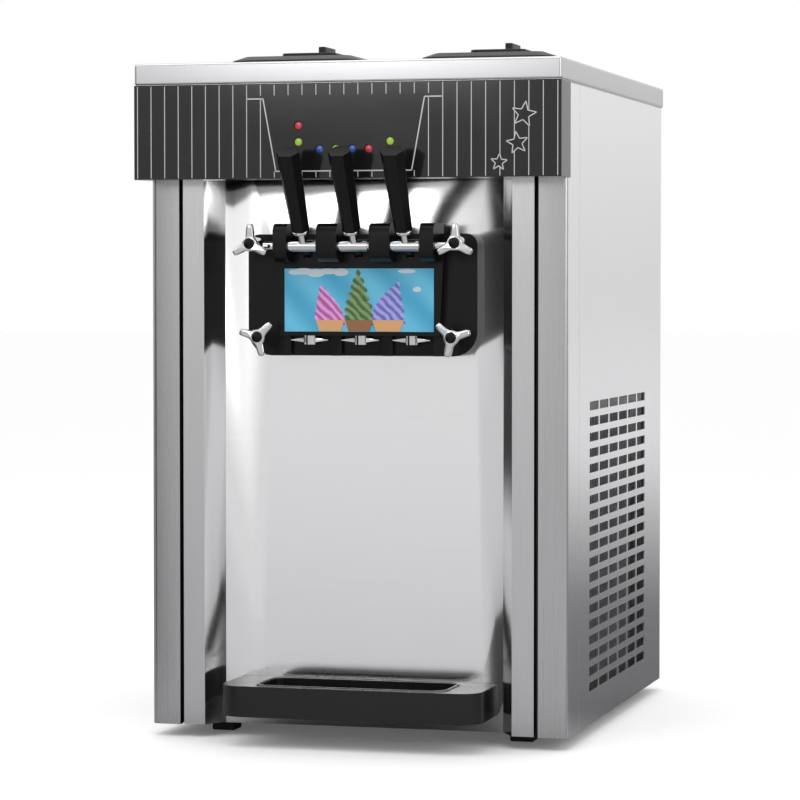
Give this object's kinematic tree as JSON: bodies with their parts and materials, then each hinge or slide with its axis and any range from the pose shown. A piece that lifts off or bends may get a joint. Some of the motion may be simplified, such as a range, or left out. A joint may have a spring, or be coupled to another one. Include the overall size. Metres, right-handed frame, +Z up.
{
  "type": "soft serve machine",
  "caption": "Countertop soft serve machine: stainless cabinet, black head with draw levers and star knobs, header panel, drip tray and lidded hoppers on top.",
  "frame": {"origin": "on the floor under the middle of the overall box", "axes": "+Z up, -Y out of the front with the levers, +X to the right of someone facing the back from the front"},
  "size_m": [0.54, 0.729, 0.8823],
  "materials": {
    "steel_panel": "satin brushed stainless sheet",
    "steel_mirror": "polished stainless sheet",
    "frame_steel": "zinc grey",
    "chrome": "polished",
    "header_black": "glossy charcoal panel with thin pale pinstripes",
    "black_satin": "black satin",
    "lid_grey": "dark grey satin",
    "rubber": "black rubber",
    "foam": "black closed-cell foam",
    "key_red": "red",
    "key_green": "yellow green",
    "key_blue": "blue",
    "board": "circuit board green",
    "white_plastic": "food-grade white",
    "picture": "printed sheet: sky blue with three swirled cones",
    "machine_grey": "dark grey paint",
    "compressor_black": "black enamel",
    "fins": "bare fins on tubes"
  },
  "bodies": {
    "cabinet": {"base_pan": "frame_steel", "feet": "rubber", "chassis_frame": "frame_steel", "front_columns": "steel_panel", "front_panel": "steel_mirror", "left_side_panel": "steel_panel", "right_side_panel": "steel_panel", "rear_panel": "steel_panel", "rear_screws": "chrome", "top_cap": "steel_mirror", "header_box": "header_black", "header_panel": "header_black", "key_board": "board", "hoppers": "steel_mirror", "air_tubes": "white_plastic", "freezing_cylinders": "steel_mirror", "foam_jacket": "foam", "seals": "rubber", "gear_motors": "machine_grey", "head_block": "black_satin", "picture_panel": "picture", "star_nozzles": "chrome", "pivot_shaft": "chrome", "knob_studs": "chrome", "tray_pegs": "chrome", "compressor": "compressor_black", "condenser": "fins", "fan_motor": "machine_grey", "control_box": "frame_steel", "power_gland": "black_satin"},
    "lever_left": {"lever_left": "chrome", "grip_left": "black_satin"},
    "plunger_left": {"plunger_left": "black_satin"},
    "lever_middle": {"lever_middle": "chrome", "grip_middle": "black_satin"},
    "plunger_middle": {"plunger_middle": "black_satin"},
    "lever_right": {"lever_right": "chrome", "grip_right": "black_satin"},
    "plunger_right": {"plunger_right": "black_satin"},
    "knob_upper_left": {"knob_upper_left": "chrome", "knob_cap_upper_left": "black_satin"},
    "knob_upper_right": {"knob_upper_right": "chrome", "knob_cap_upper_right": "black_satin"},
    "knob_lower_left": {"knob_lower_left": "chrome", "knob_cap_lower_left": "black_satin"},
    "knob_lower_right": {"knob_lower_right": "chrome", "knob_cap_lower_right": "black_satin"},
    "lid_left": {"lid_left": "lid_grey"},
    "beater_left": {"beater_left": "white_plastic"},
    "lid_right": {"lid_right": "lid_grey"},
    "beater_right": {"beater_right": "white_plastic"},
    "fan": {"fan_blade": "black_satin"},
    "drip_tray": {"drip_tray": "black_satin"},
    "key_stop": {"key_stop": "key_red"},
    "key_auto": {"key_auto": "key_green"},
    "key_wash_left": {"key_wash_left": "key_blue"},
    "key_cool": {"key_cool": "key_green"},
    "key_wash_right": {"key_wash_right": "key_blue"},
    "key_clear": {"key_clear": "key_red"},
    "key_power": {"key_power": "key_green"}
  },
  "joints": [
    {"name": "lever_left_pull", "type": "hinge", "parent": "cabinet", "child": "lever_left", "pos_m": [-0.056, -0.28866, 0.615], "axis": [1, 0, 0], "range_deg": [0, 50]},
    {"name": "plunger_left_lift", "type": "slide", "parent": "cabinet", "child": "plunger_left", "axis": [0, 0, 1], "range_m": [0, 0.0275]},
    {"name": "lever_middle_pull", "type": "hinge", "parent": "cabinet", "child": "lever_middle", "pos_m": [0.009, -0.28866, 0.615], "axis": [1, 0, 0], "range_deg": [0, 50]},
    {"name": "plunger_middle_lift", "type": "slide", "parent": "cabinet", "child": "plunger_middle", "axis": [0, 0, 1], "range_m": [0, 0.0275]},
    {"name": "lever_right_pull", "type": "hinge", "parent": "cabinet", "child": "lever_right", "pos_m": [0.074, -0.28866, 0.615], "axis": [1, 0, 0], "range_deg": [0, 50]},
    {"name": "plunger_right_lift", "type": "slide", "parent": "cabinet", "child": "plunger_right", "axis": [0, 0, 1], "range_m": [0, 0.0275]},
    {"name": "knob_upper_left_turn", "type": "hinge", "parent": "cabinet", "child": "knob_upper_left", "pos_m": [-0.1205, -0.27966, 0.618], "axis": [0, -1, 0], "continuous": true},
    {"name": "knob_upper_right_turn", "type": "hinge", "parent": "cabinet", "child": "knob_upper_right", "pos_m": [0.1385, -0.27966, 0.618], "axis": [0, -1, 0], "continuous": true},
    {"name": "knob_lower_left_turn", "type": "hinge", "parent": "cabinet", "child": "knob_lower_left", "pos_m": [-0.1138, -0.27966, 0.5035], "axis": [0, -1, 0], "continuous": true},
    {"name": "knob_lower_right_turn", "type": "hinge", "parent": "cabinet", "child": "knob_lower_right", "pos_m": [0.1318, -0.27966, 0.5035], "axis": [0, -1, 0], "continuous": true},
    {"name": "lid_left_lift", "type": "slide", "parent": "cabinet", "child": "lid_left", "axis": [0, 0, 1], "range_m": [0, 0.2]},
    {"name": "beater_left_spin", "type": "hinge", "parent": "cabinet", "child": "beater_left", "pos_m": [-0.056, -0.04966, 0.555], "axis": [0, 1, 0], "continuous": true},
    {"name": "lid_right_lift", "type": "slide", "parent": "cabinet", "child": "lid_right", "axis": [0, 0, 1], "range_m": [0, 0.2]},
    {"name": "beater_right_spin", "type": "hinge", "parent": "cabinet", "child": "beater_right", "pos_m": [0.074, -0.04966, 0.555], "axis": [0, 1, 0], "continuous": true},
    {"name": "fan_spin", "type": "hinge", "parent": "cabinet", "child": "fan", "pos_m": [0.176, 0.06434, 0.22], "axis": [1, 0, 0], "continuous": true},
    {"name": "drip_tray_pull", "type": "slide", "parent": "cabinet", "child": "drip_tray", "axis": [0, -1, 0], "range_m": [0, 0.08]},
    {"name": "key_stop_press", "type": "slide", "parent": "cabinet", "child": "key_stop", "axis": [0, 1, 0], "range_m": [0, 0.0008], "stiffness_N_per_m": 600, "springref_m": -0.0008},
    {"name": "key_auto_press", "type": "slide", "parent": "cabinet", "child": "key_auto", "axis": [0, 1, 0], "range_m": [0, 0.0008], "stiffness_N_per_m": 600, "springref_m": -0.0008},
    {"name": "key_wash_left_press", "type": "slide", "parent": "cabinet", "child": "key_wash_left", "axis": [0, 1, 0], "range_m": [0, 0.0008], "stiffness_N_per_m": 600, "springref_m": -0.0008},
    {"name": "key_cool_press", "type": "slide", "parent": "cabinet", "child": "key_cool", "axis": [0, 1, 0], "range_m": [0, 0.0008], "stiffness_N_per_m": 600, "springref_m": -0.0008},
    {"name": "key_wash_right_press", "type": "slide", "parent": "cabinet", "child": "key_wash_right", "axis": [0, 1, 0], "range_m": [0, 0.0008], "stiffness_N_per_m": 600, "springref_m": -0.0008},
    {"name": "key_clear_press", "type": "slide", "parent": "cabinet", "child": "key_clear", "axis": [0, 1, 0], "range_m": [0, 0.0008], "stiffness_N_per_m": 600, "springref_m": -0.0008},
    {"name": "key_power_press", "type": "slide", "parent": "cabinet", "child": "key_power", "axis": [0, 1, 0], "range_m": [0, 0.0008], "stiffness_N_per_m": 600, "springref_m": -0.0008}
  ],
  "couplings": [
    {"joint": "plunger_left_lift", "follows": "lever_left_pull", "m_per_rad": 0.031501},
    {"joint": "plunger_middle_lift", "follows": "lever_middle_pull", "m_per_rad": 0.031501},
    {"joint": "plunger_right_lift", "follows": "lever_right_pull", "m_per_rad": 0.031501}
  ]
}
